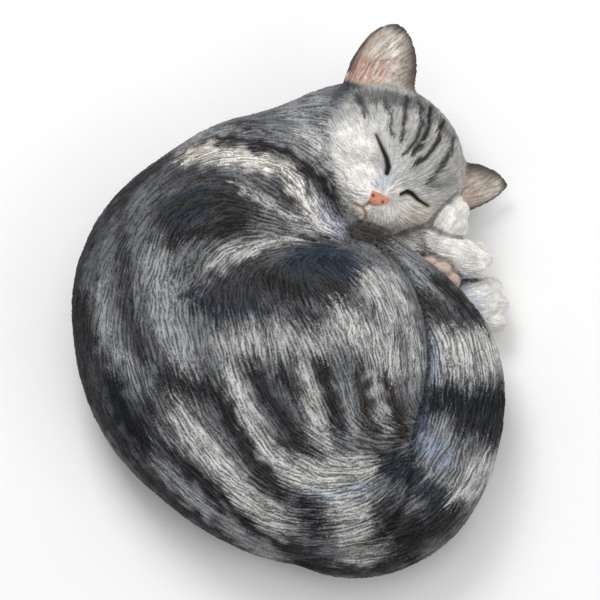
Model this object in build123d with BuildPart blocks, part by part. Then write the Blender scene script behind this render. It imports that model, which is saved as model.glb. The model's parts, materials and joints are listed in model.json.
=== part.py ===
from build123d import *
import os

# Sleeping tabby cat figurine, life size, curled on its left side.
# Hollow slip-cast body and head, with cast ears, tail and paws luted on.
# Frame: +Z up, Z = 0 is the surface it rests on, +Y runs from rump to crown.

# ---- driving dimensions (mm) ----
WALL = 6.0              # thickness of the cast shells
FELT = 2.0              # thickness of the felt pads, so the foot plane is at this height
FELT_DIAMETER = 20.0
FLOOR = 6.0             # thickness of the cast floor and of its closing disc
DISC_RADII = (38.0, 62.0)
DISC_CENTRE = (-26.0, -34.0)
DISC_TURN = 12.0
VENT_DIAMETER = 14.0    # firing vent in the closing disc

# Rounded masses of the figurine: centre, half sizes, turn about Z in degrees.
BODY = {
    "shoulder": ((-32.0, 48.0, 38.0), (72.0, 54.0, 58.0), 42.0),
    "ribs": ((-62.0, -6.0, 38.0), (63.0, 84.0, 55.0), 4.0),
    "loins": ((-50.0, -62.0, 38.0), (74.0, 58.0, 53.0), -52.0),
    "rump": ((0.0, -100.0, 36.0), (66.0, 50.0, 50.0), -16.0),
    "haunch": ((10.0, -36.0, 38.0), (82.0, 58.0, 65.0), 60.0),
    "belly": ((34.0, -44.0, 26.0), (52.0, 82.0, 42.0), 0.0),
    "neck": ((22.0, 86.0, 38.0), (50.0, 37.0, 42.0), 26.0),
}

# The head looks up and to the front, rolled onto its left cheek.
HEAD_CENTRE = Vector(49.0, 72.0, 52.0)
HEAD_FORWARD = Vector(0.23, -0.50, 0.84)
HEAD_LEFT = Vector(0.58, -0.62, -0.53)
HEAD = {
    "skull": ((0.0, 14.0, -7.0), (46.0, 41.0, 38.0)),
    "face": ((0.0, -2.0, 9.0), (41.0, 28.0, 24.0)),
    "muzzle": ((0.0, -12.0, 25.0), (19.0, 13.0, 14.0)),
}

# Middle of each ear's root and its tip, across, up and forward in the head's own frame.
# The left ear is pressed back by the paw that it rests on.
EARS = {
    "right_ear": ((-38.0, 34.0, -7.0), (-60.0, 69.0, -11.0)),
    "left_ear": ((38.0, 33.0, -8.0), (60.0, 57.0, -16.0)),
}
EAR_WIDTH = 37.0
EAR_DEPTH = 17.0
EAR_THICKNESS = 3.0
EAR_RINGS = [(-0.8, 1.15), (0.0, 1.05), (0.55, 0.66)]   # share of the way to the tip, size there
EAR_TIP_SIZE = 0.12
HOLLOW_SHORT = 0.12     # share of its length by which an ear's hollow stops before the tip

# The tail's centre line and its radius, from the root round to the tip.
TAIL = [
    ((10.0, -126.0, 29.0), 22.0),
    ((50.0, -127.0, 31.0), 26.5),
    ((80.0, -103.0, 31.5), 27.0),
    ((94.0, -60.0, 34.0), 26.0),
    ((91.0, -22.0, 40.0), 23.5),
    ((76.0, 6.0, 47.0), 19.5),
    ((57.0, 25.0, 55.0), 15.0),
    ((42.0, 33.0, 60.0), 10.0),
]
TAIL_ROOT_INSET = 0.5   # the round ends are this much smaller than the end circles
TAIL_TIP_INSET = 0.2

# Legs and paws, each made of a few rounded masses.
RIGHT_FORELIMB = {
    "forearm": ((68.0, 36.0, 38.0), (36.0, 14.5, 14.5), -18.0),
    "paw": ((102.0, 25.0, 36.0), (15.0, 13.0, 12.0), -10.0),
}
LEFT_FOREPAW = {
    "wrist": ((80.0, 47.0, 30.0), (17.0, 12.0, 14.0), 20.0),
    "paw": ((90.0, 51.0, 42.0), (12.0, 14.0, 12.0), 0.0),
}
RIGHT_HIND_FOOT = {
    "sole": ((72.0, 20.0, 26.0), (26.0, 12.0, 14.0), 0.0),
    "toes": ((88.0, 19.0, 29.0), (13.0, 11.0, 12.0), 0.0),
}
LEFT_HIND_FOOT = {
    "heel": ((90.0, 2.0, 17.0), (24.0, 15.0, 14.0), 10.0),
    "toes": ((110.5, 6.0, 17.0), (14.5, 15.5, 14.0), 0.0),
}
FELT_PLACES = [(-46.0, 62.0), (-78.0, -30.0), (10.0, -112.0), (46.0, -36.0)]


def ellipsoid(centre, radii, turn=0.0):
    """A sphere stretched to three half sizes, turned about Z and moved to its centre.

    It is made of two halves, so that no face closes on itself.
    """
    half_ball = Sphere(1.0, arc_size3=180, align=None, mode=Mode.PRIVATE)
    half = scale(half_ball, by=radii, mode=Mode.PRIVATE)
    return Pos(*centre) * Rot(0, 0, turn) * half.fuse(Rot(0, 0, 180) * half)


def masses(table, inset=0.0):
    """All rounded masses of a table as one solid, each made smaller by the inset."""
    with BuildPart() as form:
        for centre, radii, turn in table.values():
            add(ellipsoid(centre, tuple(r - inset for r in radii), turn))
    return form.part


def head_place():
    """The head's own frame: X to the cat's left, Y to its crown, Z out of its face."""
    return Plane(origin=HEAD_CENTRE, x_dir=HEAD_LEFT, z_dir=HEAD_FORWARD).location


def head_masses(inset=0.0):
    """The skull, face and muzzle as one solid in the head's place."""
    with BuildPart() as form:
        for centre, radii in HEAD.values():
            add(head_place() * ellipsoid(centre, tuple(r - inset for r in radii)))
    return form.part


def keep_above(height):
    """Cuts the part being built flat at a height and keeps what is above."""
    split(bisect_by=Plane.XY.offset(height), keep=Keep.TOP)


def ear_cone(name, width, depth, short):
    """A hollowed ear is the difference of two of these tapered oval cones."""
    root, tip = (Vector(*place) for place in EARS[name])
    along = (tip - root).normalized()
    across = Vector(along.Y, -along.X, 0)
    with BuildPart() as cone:
        for step, size in EAR_RINGS + [(1.0 - short, EAR_TIP_SIZE)]:
            place = Plane(origin=root + (tip - root) * step, x_dir=across, z_dir=along)
            with BuildSketch(place):
                Ellipse(width / 2 * size, depth / 2 * size)
        loft()
    return head_place() * cone.part


os.makedirs("parts", exist_ok=True)

body_form = masses(BODY)
head_form = head_masses()

# ---- hollow body with an opening in its floor ----
with BuildPart() as body_shell:
    add(body_form)
    keep_above(FELT)
    with BuildPart(mode=Mode.PRIVATE) as body_cavity:
        add(masses(BODY, WALL))
        keep_above(FELT + FLOOR)
    add(body_cavity.part, mode=Mode.SUBTRACT)
    with BuildSketch(Plane.XY.offset(FELT)):
        with Locations(DISC_CENTRE):
            Ellipse(*DISC_RADII, rotation=DISC_TURN)
    extrude(amount=FLOOR, mode=Mode.SUBTRACT)
body_shell.part.label = "body_shell"
export_step(body_shell.part, "parts/body_shell.step")

# ---- disc that closes the floor, with its firing vent ----
with BuildPart() as base_disc:
    with BuildSketch(Plane.XY.offset(FELT)):
        with Locations(DISC_CENTRE):
            Ellipse(*DISC_RADII, rotation=DISC_TURN)
            Circle(VENT_DIAMETER / 2, mode=Mode.SUBTRACT)
    extrude(amount=FLOOR)
base_disc.part.label = "base_disc"
export_step(base_disc.part, "parts/base_disc.step")

# ---- hollow head, luted onto the neck ----
with BuildPart() as head_shell:
    add(head_form)
    add(head_masses(WALL), mode=Mode.SUBTRACT)
    add(body_form, mode=Mode.SUBTRACT)
    keep_above(FELT)
head_shell.part.label = "head_shell"
export_step(head_shell.part, "parts/head_shell.step")

# ---- ears: thin hollow cones, open to the front ----
for name in EARS:
    with BuildPart() as ear:
        add(ear_cone(name, EAR_WIDTH, EAR_DEPTH, 0.0))
        hollow = ear_cone(name, EAR_WIDTH - 2 * EAR_THICKNESS, EAR_DEPTH, HOLLOW_SHORT)
        add(Pos(*(HEAD_FORWARD * (2 * EAR_THICKNESS))) * hollow, mode=Mode.SUBTRACT)
        add(head_form, mode=Mode.SUBTRACT)
        add(body_form, mode=Mode.SUBTRACT)
    ear.part.label = name
    export_step(ear.part, f"parts/{name}.step")

# ---- tail, luted along the body's front edge ----
with BuildPart() as tail_form:
    centres = [Vector(*point) for point, radius in TAIL]
    run = Spline(*centres, mode=Mode.PRIVATE)
    for index, (point, radius) in enumerate(TAIL):
        here = run.param_at_point(centres[index])
        with BuildSketch(Plane(origin=centres[index], z_dir=run.tangent_at(here))):
            Circle(radius)
    loft()
    with Locations(centres[0]):
        Sphere(TAIL[0][1] - TAIL_ROOT_INSET)
    with Locations(centres[-1]):
        Sphere(TAIL[-1][1] - TAIL_TIP_INSET)
with BuildPart() as tail:
    add(tail_form.part)
    add(body_form, mode=Mode.SUBTRACT)
    add(head_form, mode=Mode.SUBTRACT)
    keep_above(FELT)
tail.part.label = "tail"
export_step(tail.part, "parts/tail.step")

# ---- legs and paws, each cut back to the pieces that it rests against ----
fitted = [body_form, head_form, tail_form.part, ear_cone("left_ear", EAR_WIDTH, EAR_DEPTH, 0.0)]
for name, table in (
    ("right_forelimb", RIGHT_FORELIMB),
    ("left_forepaw", LEFT_FOREPAW),
    ("right_hind_foot", RIGHT_HIND_FOOT),
    ("left_hind_foot", LEFT_HIND_FOOT),
):
    form = masses(table)
    with BuildPart() as limb:
        add(form)
        for other in fitted:
            add(other, mode=Mode.SUBTRACT)
        keep_above(FELT)
    limb.part.label = name
    export_step(limb.part, f"parts/{name}.step")
    fitted.append(form)

# ---- felt pads under the foot plane ----
for number, place in enumerate(FELT_PLACES, 1):
    with BuildPart() as felt_pad:
        with BuildSketch():
            with Locations(place):
                Circle(FELT_DIAMETER / 2)
        extrude(amount=FELT)
    felt_pad.part.label = f"felt_pad_{number}"
    export_step(felt_pad.part, f"parts/felt_pad_{number}.step")
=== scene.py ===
import heapq
import itertools
import json
import math

import bpy
import numpy as np
import openvdb
from mathutils import Matrix, Vector


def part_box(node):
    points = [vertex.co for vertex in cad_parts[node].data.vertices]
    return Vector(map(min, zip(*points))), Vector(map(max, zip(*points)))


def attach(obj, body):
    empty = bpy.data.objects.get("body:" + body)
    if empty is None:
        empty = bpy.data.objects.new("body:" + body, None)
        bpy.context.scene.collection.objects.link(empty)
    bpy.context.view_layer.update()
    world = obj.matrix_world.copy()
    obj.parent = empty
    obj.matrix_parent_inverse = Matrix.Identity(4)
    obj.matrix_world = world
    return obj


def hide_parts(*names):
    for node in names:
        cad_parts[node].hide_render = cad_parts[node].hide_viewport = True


# A ceramic cat asleep, sculpted as one field of rounded masses, carved with fur strokes along a
# combed flow, painted as a silver tabby, and then cut into the pieces that the frame names.

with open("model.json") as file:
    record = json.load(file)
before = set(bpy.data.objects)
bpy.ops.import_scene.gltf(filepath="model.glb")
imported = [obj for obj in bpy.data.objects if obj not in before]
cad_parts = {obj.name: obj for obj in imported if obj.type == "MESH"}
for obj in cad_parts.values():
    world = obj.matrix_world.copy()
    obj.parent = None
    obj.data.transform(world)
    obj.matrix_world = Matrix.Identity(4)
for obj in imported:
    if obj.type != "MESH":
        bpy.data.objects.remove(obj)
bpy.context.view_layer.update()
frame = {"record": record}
MM = 0.001

# ------------------------------------------------------------------ camera, floor and light
VIEW_ELEVATION = math.radians(70.0)
VIEW_DISTANCE = 1.9
VIEW_TARGET = Vector((0.005, 0.0, 0.045))
LENS, SENSOR = 200.0, 36.0


def vector(*values):
    return np.array(values, np.float64)


def make_camera():
    camera = bpy.data.objects.new("camera", bpy.data.cameras.new("camera"))
    bpy.context.scene.collection.objects.link(camera)
    back = Vector((0.0, -math.cos(VIEW_ELEVATION), math.sin(VIEW_ELEVATION)))
    camera.location = VIEW_TARGET + back * VIEW_DISTANCE
    camera.rotation_euler = back.to_track_quat("Z", "Y").to_euler()
    camera.data.lens, camera.data.sensor_width = LENS, SENSOR
    camera.data.clip_start, camera.data.clip_end = 0.05, 20.0
    bpy.context.scene.camera = camera


def area_light(name, place, aim, size, power):
    light = bpy.data.lights.new(name, "AREA")
    light.shape, light.size, light.size_y = "RECTANGLE", size, size
    light.energy = power
    lamp = bpy.data.objects.new(name, light)
    lamp.location = place
    lamp.rotation_euler = (Vector(place) - Vector(aim)).to_track_quat("Z", "Y").to_euler()
    bpy.context.scene.collection.objects.link(lamp)


def make_studio():
    aim = (0.0, 0.0, 0.04)
    area_light("key", (-0.35, 0.7, 1.2), aim, 0.6, 9.0)
    area_light("fill", (0.9, -0.7, 0.9), aim, 0.9, 3.5)
    area_light("top", (0.0, -0.1, 1.5), aim, 0.9, 4.0)
    world = bpy.data.worlds.new("studio")
    world.use_nodes = True
    world.node_tree.nodes["Background"].inputs["Color"].default_value = (1.0, 1.0, 1.0, 1.0)
    world.node_tree.nodes["Background"].inputs["Strength"].default_value = 0.5
    bpy.context.scene.world = world
    bpy.context.scene.view_settings.view_transform = "Standard"

    mesh = bpy.data.meshes.new("floor")
    half = 3.0
    corners = [(-half, -half, 0), (half, -half, 0), (half, half, 0), (-half, half, 0)]
    mesh.from_pydata(corners, [], [(0, 1, 2, 3)])
    floor = bpy.data.objects.new("floor", mesh)
    bpy.context.scene.collection.objects.link(floor)
    paper = bpy.data.materials.new("paper")
    paper.use_nodes = True
    shader = paper.node_tree.nodes["Principled BSDF"]
    shader.inputs["Base Color"].default_value = (0.93, 0.93, 0.93, 1.0)
    shader.inputs["Roughness"].default_value = 0.9
    mesh.materials.append(paper)


# ------------------------------------------------------------------ masses, in mm in the frame
FOOT = 2.0      # height of the foot plane over the felt pads

# centre, half sizes, turn about Z in degrees, blend with what came before
TORSO = [
    ((-62, -6, 38), (63, 84, 55), 4, 0),
    ((-32, 49, 38), (73, 55, 58), 42, 20),
    ((-47, -60, 38), (73, 57, 53), -52, 20),
    ((0, -100, 36), (66, 50, 50), -16, 18),
    ((34, -112, 32), (44, 40, 37), -6, 16),
    ((34, -44, 26), (50, 82, 42), 0, 14),
    ((24, 93, 38), (50, 37, 41), 24, 16),
    ((10, -36, 38), (84, 60, 64), 60, 24),
]

# soft valleys pressed into the torso: line, depth, half width
VALLEYS = [
    ([(-62, -8, 92), (-42, 0, 95), (-18, 11, 95), (2, 20, 93), (30, 24, 84)], 9.0, 6.0),
]

# tail: centre line and radius, root to tip
TAIL = [
    ((2, -126, 30), 22),
    ((26, -131, 31), 26),
    ((50, -128, 31), 27.5),
    ((72, -114, 31), 27.5),
    ((87, -88, 32), 27),
    ((94, -58, 34), 26),
    ((93, -33, 37), 24),
    ((85.5, -13, 43), 19.5),
    ((73, 3, 50), 15.5),
    ((59, 16, 57), 12.5),
    ((48, 23.5, 62), 11),
    ((38, 27, 65), 10),
]
TAIL_STEPS = 3      # spans between two of those points
TAIL_BLEND = 3.0

HEAD_CENTRE = vector(49.0, 72.0, 52.0)
FORWARD = vector(0.23, -0.50, 0.84)
LEFT = vector(0.58, -0.62, -0.53)


def unit(v):
    return v / np.linalg.norm(v)


FORWARD = unit(FORWARD)
LEFT = unit(LEFT - FORWARD * LEFT.dot(FORWARD))
CROWN = np.cross(FORWARD, LEFT)
HEAD_AXES = np.stack([LEFT, CROWN, FORWARD], 1)

# head masses in the head's own axes (left, crown, forward): centre, half sizes, blend
HEAD = [
    ((0, 17.5, -7), (43, 36.5, 38), 0),
    ((0, 17, 7), (34, 28, 22), 10),
    ((-23, 2, 4), (19, 17, 21), 10),
    ((18, 2, 4), (18, 17, 22), 10),
    ((2, -11, 9), (27, 13, 24), 9),
    ((0.5, 3, 22), (9, 18, 12), 8),
    ((-6.5, -13.5, 24.5), (11, 8.5, 11.5), 6),
    ((9, -13.5, 24.5), (12, 9, 11.5), 6),
    ((1.8, -10, 33.5), (6.5, 5.4, 5.5), 3),
    ((2, -18.5, 21), (9, 6, 11), 4),
    ((-17, 7, 17.5), (12, 9, 9), 6),
    ((17, 7, 17.5), (12, 9, 9), 6),
]

# the ears' roots and tips in the head's own axes; the left one is pressed back by the paw
EARS = {-1: (vector(-40, 32.5, -6), vector(-60, 63, -10)), 1: (vector(35.5, 34, -3), vector(58, 60, -14))}
EAR_HALF_WIDTHS = {-1: 19.8, 1: 15.8}
EAR_FULLNESS = {-1: 2.3, 1: 1.7}    # how far up its sides stay wide
EAR_THICKNESS = 3.4
EAR_SIDES = {"right_ear": -1, "left_ear": 1}

# legs and paws: centre, half sizes, turn about Z, blend
LIMBS = {
    "right_forelimb": [
        ((66, 39, 39), (38, 11.5, 13), -16, 0),
        ((88, 31, 38), (20, 9.5, 12), -16, 8),
        ((99.5, 28, 36), (13.5, 10.5, 11), -10, 5),
        ((105.5, 22, 35), (8, 4.6, 7), -10, 1.6),
        ((108, 28, 37), (8, 4.5, 7.5), -6, 1.6),
        ((105.5, 34, 35), (8, 4.5, 7), 0, 1.6),
    ],
    "left_forepaw": [
        ((82, 48, 32), (17, 12, 16), 20, 0),
        ((90, 50, 45), (11, 14, 12), 0, 6),
        ((92, 60, 49), (6.5, 5, 6), 0, 1.6),
        ((97, 53, 49), (5.5, 6, 6.5), 0, 1.6),
        ((96, 44, 47), (5.5, 6, 6.5), 0, 1.6),
    ],
    "right_hind_foot": [
        ((70, 18, 30), (26, 12, 14), 0, 0),
        ((83, 18, 36), (12, 9, 11), 0, 6),
        ((79, 23, 45), (6, 5, 5), 20, 1.2),
        ((86.5, 18.5, 45), (5.5, 5, 5), 20, 1.2),
        ((92, 13, 41), (5, 5, 5), 20, 1.2),
    ],
    "left_hind_foot": [
        ((90, 3, 17), (24, 16, 15), 10, 0),
        ((107, 8, 19), (15, 15, 14), 0, 8),
        ((114, 17, 18), (8.5, 6, 8), 20, 2.0),
        ((118, 7, 18), (8, 6, 8.5), 0, 2.0),
        ((116, -3, 17), (8.5, 6, 8), -20, 2.0),
    ],
}


def turn_back(q, turn):
    """Points turned about Z against an angle in degrees."""
    c, s = math.cos(math.radians(turn)), math.sin(math.radians(turn))
    out = q.copy()
    out[:, 0], out[:, 1] = q[:, 0] * c + q[:, 1] * s, q[:, 1] * c - q[:, 0] * s
    return out


def oval(q, radii):
    """Distance to an oval or a stretched ball at the origin, near enough close to its edge."""
    q = q / np.asarray(radii, np.float32)
    k0 = np.sqrt((q * q).sum(1))
    q = q / np.asarray(radii, np.float32)
    k1 = np.sqrt((q * q).sum(1))
    return k0 * (k0 - 1.0) / np.maximum(k1, 1e-6)


def stretched(p, centre, radii, turn=0.0):
    """Distance to a stretched ball that is turned about Z and moved to its centre."""
    q = p - np.asarray(centre, np.float32)
    return oval(turn_back(q, turn) if turn else q, radii)


def tapered(p, a, b, ra, rb):
    a, b = np.asarray(a, np.float32), np.asarray(b, np.float32)
    along = b - a
    h = np.clip((p - a) @ along / along.dot(along), 0.0, 1.0)
    q = p - a - h[:, None] * along
    return np.sqrt((q * q).sum(1)) - (ra + (rb - ra) * h)


def join(a, b, blend):
    """Union with a rounded joint."""
    if np.ndim(blend) == 0 and blend <= 0.0:
        return np.minimum(a, b)
    h = np.maximum(blend - np.abs(a - b), 0.0) / blend
    return np.minimum(a, b) - h * h * blend * 0.25


def meet(a, b, blend):
    """Intersection with a rounded edge."""
    return -join(-a, -b, blend)


def joined(masses):
    """Union of masses, each given as its distance and its blend with those before it."""
    d = None
    for mass, blend in masses:
        d = mass if d is None else join(d, mass, blend)
    return d


def line_distance(p, line):
    """Distance from points to a line of several runs."""
    return joined((tapered(p, a, b, 0.0, 0.0), 0.0) for a, b in zip(line, line[1:]))


def torso(p):
    d = joined((stretched(p, centre, radii, turn), blend) for centre, radii, turn, blend in TORSO)
    for line, depth, width in VALLEYS:
        away = line_distance(p, line) / width
        d = d + depth * np.exp(-away * away)
    return d


def smooth_line(points, steps):
    """Catmull-Rom points through a list of points with a radius each."""
    table = np.array([list(place) + [radius] for place, radius in points], float)
    table = np.vstack([2 * table[0] - table[1], table, 2 * table[-1] - table[-2]])
    out = []
    for i in range(1, len(table) - 2):
        p0, p1, p2, p3 = table[i - 1:i + 3]
        for t in np.arange(steps) / steps:
            out.append(0.5 * (2 * p1 + (p2 - p0) * t + (2 * p0 - 5 * p1 + 4 * p2 - p3) * t * t
                              + (3 * p1 - p0 - 3 * p2 + p3) * t ** 3))
    out.append(table[-2])
    return [(row[:3], row[3]) for row in out]


TAIL_LINE = smooth_line(TAIL, TAIL_STEPS)


def tail(p):
    spans = zip(TAIL_LINE, TAIL_LINE[1:])
    return joined((tapered(p, a, b, ra, rb), TAIL_BLEND) for (a, ra), (b, rb) in spans)


def limb(p, name):
    return joined((stretched(p, centre, radii, turn), blend) for centre, radii, turn, blend in LIMBS[name])


def head(q):
    return joined((stretched(q, centre, radii), blend) for centre, radii, blend in HEAD)


def ear_axes(side):
    root, tip = EARS[side]
    up = unit(tip - root)
    front = vector(side * 0.25, 0.0, 1.0)
    front = unit(front - up * front.dot(up))
    return root, np.stack([np.cross(up, front), up, front], 1)


def ear_local(q, side):
    root, axes = ear_axes(side)
    return (q - root.astype(np.float32)) @ axes.astype(np.float32)


def ear_height(side):
    root, tip = EARS[side]
    return float(np.linalg.norm(tip - root)) + 2.0


def ear_shape(e, side):
    """The ear's half width and the depth of its hollow sheet at a height."""
    rise = np.clip(e[:, 1] / ear_height(side), 0.0, 1.0)
    half = EAR_HALF_WIDTHS[side] * np.power(np.maximum(1.0 - np.power(rise, EAR_FULLNESS[side]), 0.0), 0.6)
    across = np.clip(e[:, 0] / EAR_HALF_WIDTHS[side], -1.2, 1.2)
    sheet = -9.0 * (1.0 - across * across) * (1.0 - 0.75 * rise) - 2.0 * rise
    return half, sheet, rise


def ear(q, side):
    e = ear_local(q, side)
    half, sheet, rise = ear_shape(e, side)
    thick = EAR_THICKNESS * (1.0 - 0.35 * rise)
    wall = np.abs(e[:, 2] - sheet) * 0.85 - thick / 2
    outline = (np.abs(e[:, 0]) - half) * 0.85
    cut = meet(wall, outline, 1.6)
    return meet(cut, np.maximum(-16.0 - e[:, 1], e[:, 1] - ear_height(side)), 1.0)


GROUPS = ["body_shell", "head_shell", "right_ear", "left_ear", "tail", "right_forelimb", "left_forepaw",
          "right_hind_foot", "left_hind_foot"]
BLENDS = {"head_shell": 9.0, "right_ear": 5.0, "left_ear": 5.0, "tail": 2.5, "right_forelimb": 2.0,
          "left_forepaw": 2.0, "right_hind_foot": 2.0, "left_hind_foot": 2.0}


def to_head(p):
    return (p - HEAD_CENTRE.astype(np.float32)) @ HEAD_AXES.astype(np.float32)


SHAPES = [torso, lambda p: head(to_head(p))]
SHAPES += [lambda p, side=side: ear(to_head(p), side) for side in EAR_SIDES.values()] + [tail]
SHAPES += [lambda p, name=name: limb(p, name) for name in GROUPS[5:]]
REACH = 22.0    # further than this from a piece's box, its distance doesn't matter
COARSE_STEP = 4.0


def piece_boxes():
    """Each piece's box, found on a coarse grid."""
    axes = [np.arange(low, high, COARSE_STEP) for low, high in ((-134, 136), (-170, 166), (-6, 118))]
    grid = np.stack(np.meshgrid(*axes, indexing="ij"), -1).reshape(-1, 3).astype(np.float32)
    boxes = []
    for shape in SHAPES:
        inside = grid[shape(grid) < 3.0]
        boxes.append((inside.min(0) - REACH, inside.max(0) + REACH))
    return boxes


BOXES = piece_boxes()


def groups(p):
    """Distance to each piece's own masses, one column for each piece."""
    out = np.full((len(p), len(SHAPES)), 2 * REACH, np.float32)
    for column, (shape, (low, high)) in enumerate(zip(SHAPES, BOXES)):
        near = ((p >= low) & (p <= high)).all(1)
        if near.any():
            out[near, column] = shape(p[near])
    return out


DISC_LOW, DISC_HIGH = (np.array(corner) * 1000 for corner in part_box("base_disc"))
DISC_CENTRE = (DISC_LOW + DISC_HIGH) / 2
DISC_RADII = (38.0, 62.0)
DISC_TURN = 12.0
DISC_GAP = 0.7
VENT_RADIUS = 7.0
HOLLOW_TOP = 30.0       # how high the hollow goes that shows through the vent


def underside(p):
    """Distance into the recess that holds the closing disc, and into the hollow above its vent."""
    q = turn_back(p[:, :2] - DISC_CENTRE[:2].astype(np.float32), DISC_TURN)
    recess = np.maximum(oval(q, DISC_RADII) - DISC_GAP, p[:, 2] - DISC_HIGH[2] - 0.4)
    hollow = np.maximum(np.sqrt((q * q).sum(1)) - VENT_RADIUS - 4.0, p[:, 2] - HOLLOW_TOP)
    return np.minimum(recess, hollow)


def neck(p):
    """1 where the head runs smoothly into the back of the neck, 0 where the cheek lies on the thigh."""
    return smooth((p[:, 1] - 55.0) / 26.0)


def whole(columns, p):
    """The whole figurine's distance from the pieces' distances, cut flat at the foot plane."""
    d = columns[:, 0]
    for index, name in enumerate(GROUPS[1:], 1):
        blend = BLENDS[name]
        if name == "head_shell":
            blend = blend + 11.0 * neck(p)
        d = join(d, columns[:, index], blend)
    return np.maximum(meet(d, FOOT - p[:, 2], 3.0), -underside(p))


def field(p):
    return whole(groups(p), p)


TETRAHEDRON = np.array([(1, 1, 1), (1, -1, -1), (-1, 1, -1), (-1, -1, 1)], np.float32)


def gradient(p, step=0.35):
    out = np.zeros_like(p)
    for corner in TETRAHEDRON:
        out += field(p + corner * step)[:, None] * corner
    return out / (4 * step)


def seat(p, rounds=2):
    """Moves points onto the surface and returns them with their outward normals."""
    for _ in range(rounds):
        g = gradient(p)
        p = p - g * (field(p) / np.maximum((g * g).sum(1), 0.05))[:, None]
    g = gradient(p)
    return p, g / np.maximum(np.linalg.norm(g, axis=1), 1e-6)[:, None]


# ------------------------------------------------------------------ meshing
VOXEL = 1.1
LOW = np.array([-132.0, -168.0, -3.0])
HIGH = np.array([134.0, 164.0, 118.0])


def surface_quads():
    """The field's surface as quads, in mm."""
    counts = np.ceil((HIGH - LOW) / VOXEL).astype(int)
    axes = [LOW[i] + VOXEL * np.arange(counts[i]) for i in range(3)]
    values = np.empty(counts, np.float32)
    for i, x in enumerate(axes[0]):
        grid = np.stack(np.meshgrid([x], axes[1], axes[2], indexing="ij"), -1).reshape(-1, 3)
        values[i] = field(grid.astype(np.float32)).reshape(counts[1:])
    grid = openvdb.FloatGrid(VOXEL * 3)
    grid.copyFromArray(np.clip(values, -VOXEL * 3, VOXEL * 3))
    points, quads = grid.convertToQuads(isovalue=0.0)
    return points.astype(np.float32) * VOXEL + LOW.astype(np.float32), quads.astype(np.int64)


def quad_edges(quads):
    """Unique edges, and for each quad the index of its four edges."""
    pairs = np.stack([quads, np.roll(quads, -1, 1)], 2).reshape(-1, 2)
    pairs.sort(1)
    top = quads.max() + 1
    edges, index = np.unique(pairs[:, 0] * top + pairs[:, 1], return_inverse=True)
    return np.stack([edges // top, edges % top], 1), index.reshape(-1, 4)


def relax(points, quads, amount):
    """Moves each point part of the way to the middle of its neighbours."""
    edges, _ = quad_edges(quads)
    total, count = np.zeros_like(points), np.zeros(len(points))
    for a, b in ((0, 1), (1, 0)):
        for axis in range(3):
            total[:, axis] += np.bincount(edges[:, a], points[edges[:, b], axis], len(points))
        count += np.bincount(edges[:, a], minlength=len(points))
    return points + amount * (total / count[:, None].astype(np.float32) - points)


def split_quads(points, quads):
    """Each quad as four, with a new point on each edge and in each middle."""
    edges, index = quad_edges(quads)
    middle = points[edges].mean(1)
    centre = points[quads].mean(1)
    e = index + len(points)
    c = np.arange(len(quads)) + len(points) + len(edges)
    parts = [np.stack([quads[:, k], e[:, k], c, e[:, k - 1]], 1) for k in range(4)]
    return np.concatenate([points, middle, centre]).astype(np.float32), np.concatenate(parts)


def face_normals(points, quads):
    """Each quad's normal, as long as twice its area."""
    return np.cross(points[quads[:, 2]] - points[quads[:, 0]], points[quads[:, 3]] - points[quads[:, 1]])


def point_normals(points, quads):
    """Outward unit normals from the faces around each point."""
    faces = face_normals(points, quads)
    out = np.zeros_like(points)
    for axis in range(3):
        for k in range(4):
            out[:, axis] += np.bincount(quads[:, k], faces[:, axis], len(points))
    return out / np.maximum(np.linalg.norm(out, axis=1), 1e-9)[:, None]


# ------------------------------------------------------------------ combing and carving
# lines that the torso's coat lies along, root to tip, across and up as seen from the front
COMB_LINES = [
    # round the back to the rump, from the outermost line inwards
    [(-80, 75), (-98, 57), (-115, 25), (-122, -12), (-112, -50), (-85, -93), (-52, -118), (-12, -138),
     (25, -143), (62, -137), (88, -118)],
    [(-80, 68), (-90, 48), (-95, 30), (-98, 0), (-92, -35), (-72, -75), (-45, -103), (-12, -125),
     (16, -125), (40, -122)],
    [(-72, 50), (-76, 30), (-76, 0), (-72, -30), (-52, -62), (-30, -92), (-6, -108), (20, -112), (45, -104)],
    [(-46, 45), (-56, 22), (-57, 0), (-53, -35), (-40, -68), (-22, -92)],
    [(48, -112), (62, -103), (80, -86)],
    # down the thigh, bending towards the tail
    [(-36, 8), (-36, -20), (-26, -46), (-14, -72), (6, -92), (30, -98), (55, -88), (72, -76)],
    [(-24, 12), (-12, -10), (-6, -40), (2, -66), (18, -84), (40, -88), (62, -78)],
    [(0, 14), (8, -14), (20, -36), (26, -60), (36, -78), (56, -76)],
    [(8, 28), (26, 8), (36, -18), (42, -50), (52, -72), (68, -73)],
    [(30, 34), (48, 22), (56, 0), (60, -28), (62, -55), (70, -66)],
    # from the chest out over the shoulder
    [(24, 34), (11, 38), (-6, 47), (-23, 60), (-46, 69), (-69, 65), (-82, 50)],
    [(-2, 41), (-29, 43), (-50, 44), (-62, 34), (-66, 18)],
    [(14, 37), (-6, 31), (-29, 24), (-48, 14)],
    [(27, 38), (25, 48), (18, 62), (10, 76)],
    # from the cheek back over the neck
    [(32, 66), (22, 77), (-1, 87), (-23, 88), (-46, 87), (-63, 82), (-80, 71)],
    [(24, 80), (8, 98), (-10, 101), (-29, 98), (-60, 95)],
]
COMB_REACH = 9.0        # mm over which one line hands over to the next
SIGHT = math.sin(VIEW_ELEVATION), math.cos(VIEW_ELEVATION)


def face_on(p):
    """Places across and up, in mm, as the figurine is seen and painted from the front."""
    height = p[:, 2] - VIEW_TARGET.z * 1000
    up = p[:, 1] * SIGHT[0] + height * SIGHT[1]
    nearer = height * SIGHT[0] - p[:, 1] * SIGHT[1]
    grow = VIEW_DISTANCE * 1000 / (VIEW_DISTANCE * 1000 - nearer)
    middle = VIEW_TARGET.x * 1000
    return np.stack([middle + (p[:, 0] - middle) * grow, up * grow], 1)


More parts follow.
